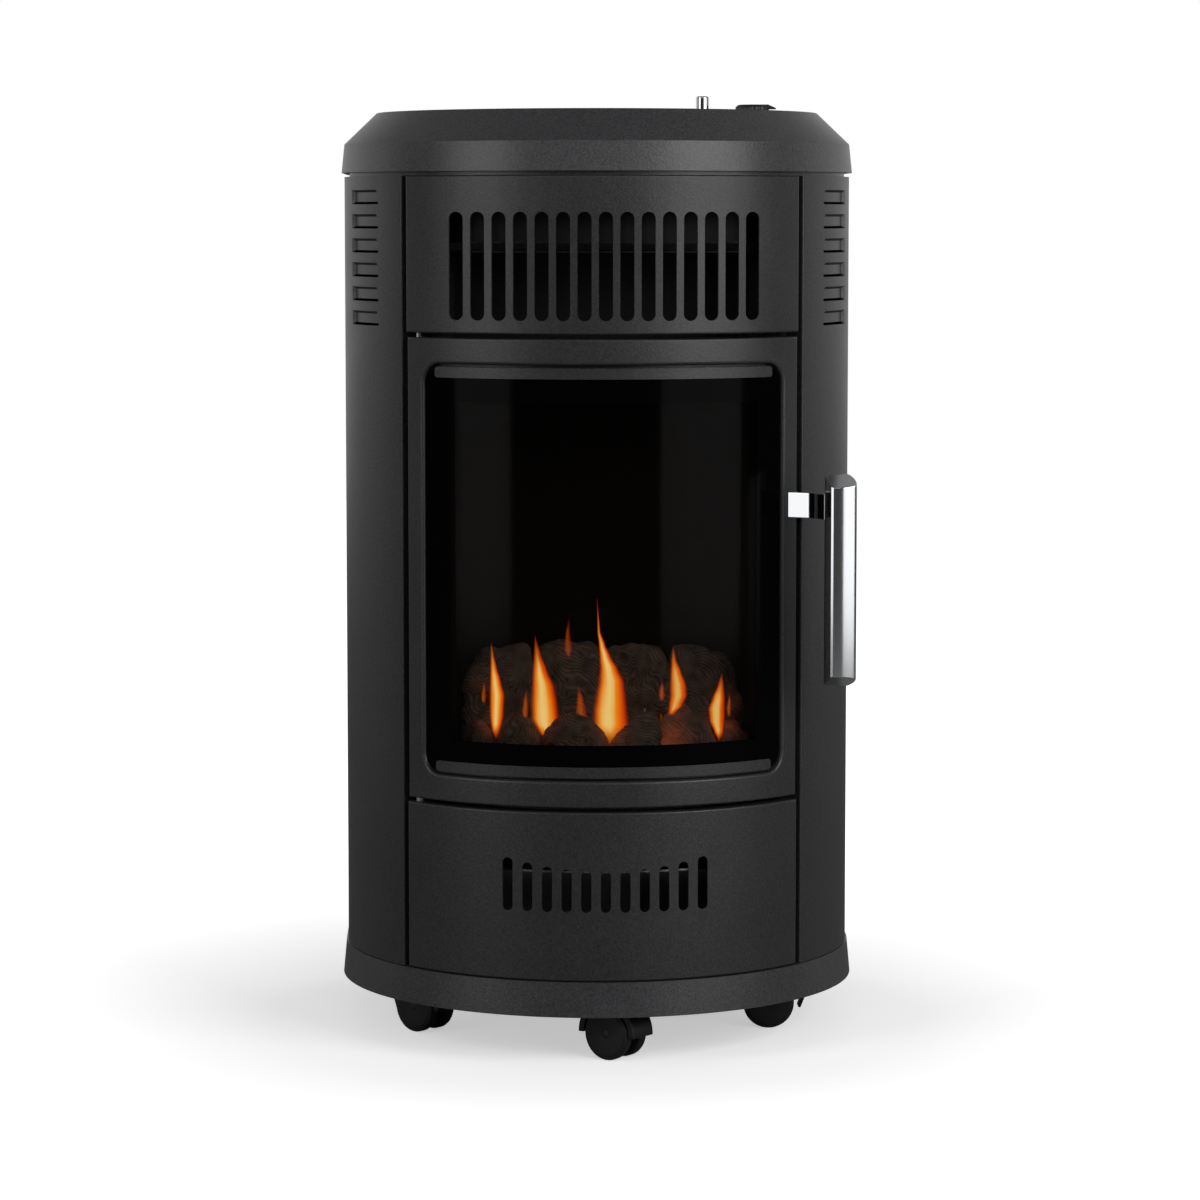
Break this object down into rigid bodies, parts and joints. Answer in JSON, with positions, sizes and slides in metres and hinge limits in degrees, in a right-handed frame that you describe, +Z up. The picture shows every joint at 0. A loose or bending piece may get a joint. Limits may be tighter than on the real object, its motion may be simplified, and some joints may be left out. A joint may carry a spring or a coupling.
{
  "type": "portable gas cabinet heater",
  "caption": "Bow-fronted portable gas cabinet heater with a glazed door over ceramic coals, a chrome handle, top controls and castors.",
  "frame": {"origin": "on the floor, under the centre of the cabinet's bounding box", "axes": "-Y out of the door towards the user, +X to the user's right, +Z up"},
  "size_m": [0.42, 0.39, 0.7672],
  "materials": {
    "powder_coat": "fine-textured charcoal powder coat on sheet steel",
    "dark_steel": "matt black heat-resistant paint",
    "zinc_steel": "bright zinc-plated steel",
    "chrome": "polished chrome plate",
    "black_plastic": "satin black moulded plastic",
    "black_rubber_tyre": "smooth black hard rubber",
    "tinted_glass": "dark heat-resistant glass with a black printed border",
    "rope_gasket": "woven glass-fibre tape",
    "ceramic_coal": "rough fired ceramic in a charred brown-grey",
    "white_ceramic": "glazed white porcelain",
    "brass": "machined brass",
    "aluminium_tube": "drawn bright tube"
  },
  "bodies": {
    "cabinet": {"base_pan": "powder_coat", "side_panel_left": "powder_coat", "side_panel_right": "powder_coat", "front_post_left": "dark_steel", "front_post_right": "dark_steel", "top_lid": "powder_coat", "upper_grille_panel": "powder_coat", "lower_front_panel": "powder_coat", "bulkhead": "zinc_steel", "hot_air_baffle": "dark_steel", "lower_shelf": "zinc_steel", "hinge_bracket_top": "dark_steel", "hinge_bracket_bottom": "dark_steel", "magnet_catch": "black_plastic", "firebox": "dark_steel", "burner_tray": "dark_steel", "burner_tube": "zinc_steel", "pilot_burner": "brass", "spark_electrode": "white_ceramic", "thermocouple": "zinc_steel", "rear_coals": "ceramic_coal", "front_coal_1": "ceramic_coal", "front_coal_2": "ceramic_coal", "front_coal_3": "ceramic_coal", "front_coal_4": "ceramic_coal", "front_coal_5": "ceramic_coal", "front_coal_6": "ceramic_coal", "control_bracket": "zinc_steel", "gas_valve": "brass", "hose_tail": "brass", "burner_feed_pipe": "aluminium_tube", "pilot_feed_pipe": "aluminium_tube", "piezo_igniter": "black_plastic", "knob_bezel": "dark_steel"},
    "door": {"door_frame": "powder_coat", "door_glass": "tinted_glass", "glass_gasket": "rope_gasket", "glass_retainer_top": "powder_coat", "glass_retainer_bottom": "powder_coat", "handle_bracket": "chrome", "handle_bar": "chrome", "hinge_pin_top": "zinc_steel", "hinge_pin_bottom": "zinc_steel", "catch_strike": "zinc_steel"},
    "valve_push_rod": {"valve_push_rod": "zinc_steel"},
    "control_knob": {"control_knob": "black_plastic"},
    "igniter_button": {"igniter_button": "chrome"},
    "rear_cover": {"rear_cover": "powder_coat"},
    "castor_front": {"castor_hood_front": "black_plastic"},
    "castor_wheels_front": {"castor_wheels_front": "black_rubber_tyre"},
    "castor_left": {"castor_hood_left": "black_plastic"},
    "castor_wheels_left": {"castor_wheels_left": "black_rubber_tyre"},
    "castor_brake_left": {"castor_brake_left": "black_plastic"},
    "castor_right": {"castor_hood_right": "black_plastic"},
    "castor_wheels_right": {"castor_wheels_right": "black_rubber_tyre"},
    "castor_brake_right": {"castor_brake_right": "black_plastic"},
    "castor_rear_left": {"castor_hood_rear_left": "black_plastic"},
    "castor_wheels_rear_left": {"castor_wheels_rear_left": "black_rubber_tyre"},
    "castor_rear_right": {"castor_hood_rear_right": "black_plastic"},
    "castor_wheels_rear_right": {"castor_wheels_rear_right": "black_rubber_tyre"}
  },
  "joints": [
    {"name": "door_hinge", "type": "hinge", "parent": "cabinet", "child": "door", "pos_m": [-0.14556, -0.12361, 0.39], "axis": [0, 0, -1], "range_deg": [0, 100]},
    {"name": "valve_push", "type": "slide", "parent": "cabinet", "child": "valve_push_rod", "axis": [0, 0, -1], "range_m": [0, 0.003], "stiffness_N_per_m": 300, "springref_m": -0.004},
    {"name": "knob_turn", "type": "hinge", "parent": "valve_push_rod", "child": "control_knob", "pos_m": [0.13, 0.04, 0.755], "axis": [0, 0, -1], "range_deg": [0, 180]},
    {"name": "igniter_push", "type": "slide", "parent": "cabinet", "child": "igniter_button", "axis": [0, 0, -1], "range_m": [0, 0.008], "stiffness_N_per_m": 200, "springref_m": -0.006},
    {"name": "rear_cover_lift_off", "type": "slide", "parent": "cabinet", "child": "rear_cover", "axis": [0, 1, 0], "range_m": [0, 0.25]},
    {"name": "swivel_front", "type": "hinge", "parent": "cabinet", "child": "castor_front", "pos_m": [0, -0.147, 0.045], "axis": [0, 0, 1], "continuous": true},
    {"name": "roll_front", "type": "hinge", "parent": "castor_front", "child": "castor_wheels_front", "pos_m": [0.00923, -0.15466, 0.021], "axis": [0.6388, 0.7694, 0], "continuous": true},
    {"name": "swivel_left", "type": "hinge", "parent": "cabinet", "child": "castor_left", "pos_m": [-0.152, -0.032, 0.045], "axis": [0, 0, 1], "continuous": true},
    {"name": "roll_left", "type": "hinge", "parent": "castor_left", "child": "castor_wheels_left", "pos_m": [-0.14352, -0.04049, 0.021], "axis": [0.7071, 0.7071, 0], "continuous": true},
    {"name": "brake_left", "type": "hinge", "parent": "castor_left", "child": "castor_brake_left", "pos_m": [-0.16416, -0.01984, 0.032], "axis": [-0.7071, -0.7071, 0], "range_deg": [0, 10]},
    {"name": "swivel_right", "type": "hinge", "parent": "cabinet", "child": "castor_right", "pos_m": [0.152, -0.032, 0.045], "axis": [0, 0, 1], "continuous": true},
    {"name": "roll_right", "type": "hinge", "parent": "castor_right", "child": "castor_wheels_right", "pos_m": [0.14, -0.032, 0.021], "axis": [0, -1, 0], "continuous": true},
    {"name": "brake_right", "type": "hinge", "parent": "castor_right", "child": "castor_brake_right", "pos_m": [0.1692, -0.032, 0.032], "axis": [0, 1, 0], "range_deg": [0, 10]},
    {"name": "swivel_rear_left", "type": "hinge", "parent": "cabinet", "child": "castor_rear_left", "pos_m": [-0.15, 0.148, 0.045], "axis": [0, 0, 1], "continuous": true},
    {"name": "roll_rear_left", "type": "hinge", "parent": "castor_rear_left", "child": "castor_wheels_rear_left", "pos_m": [-0.15311, 0.15959, 0.021], "axis": [-0.9659, -0.2588, 0], "continuous": true},
    {"name": "swivel_rear_right", "type": "hinge", "parent": "cabinet", "child": "castor_rear_right", "pos_m": [0.15, 0.148, 0.045], "axis": [0, 0, 1], "continuous": true},
    {"name": "roll_rear_right", "type": "hinge", "parent": "castor_rear_right", "child": "castor_wheels_rear_right", "pos_m": [0.156, 0.15839, 0.021], "axis": [-0.866, 0.5, 0], "continuous": true}
  ]
}
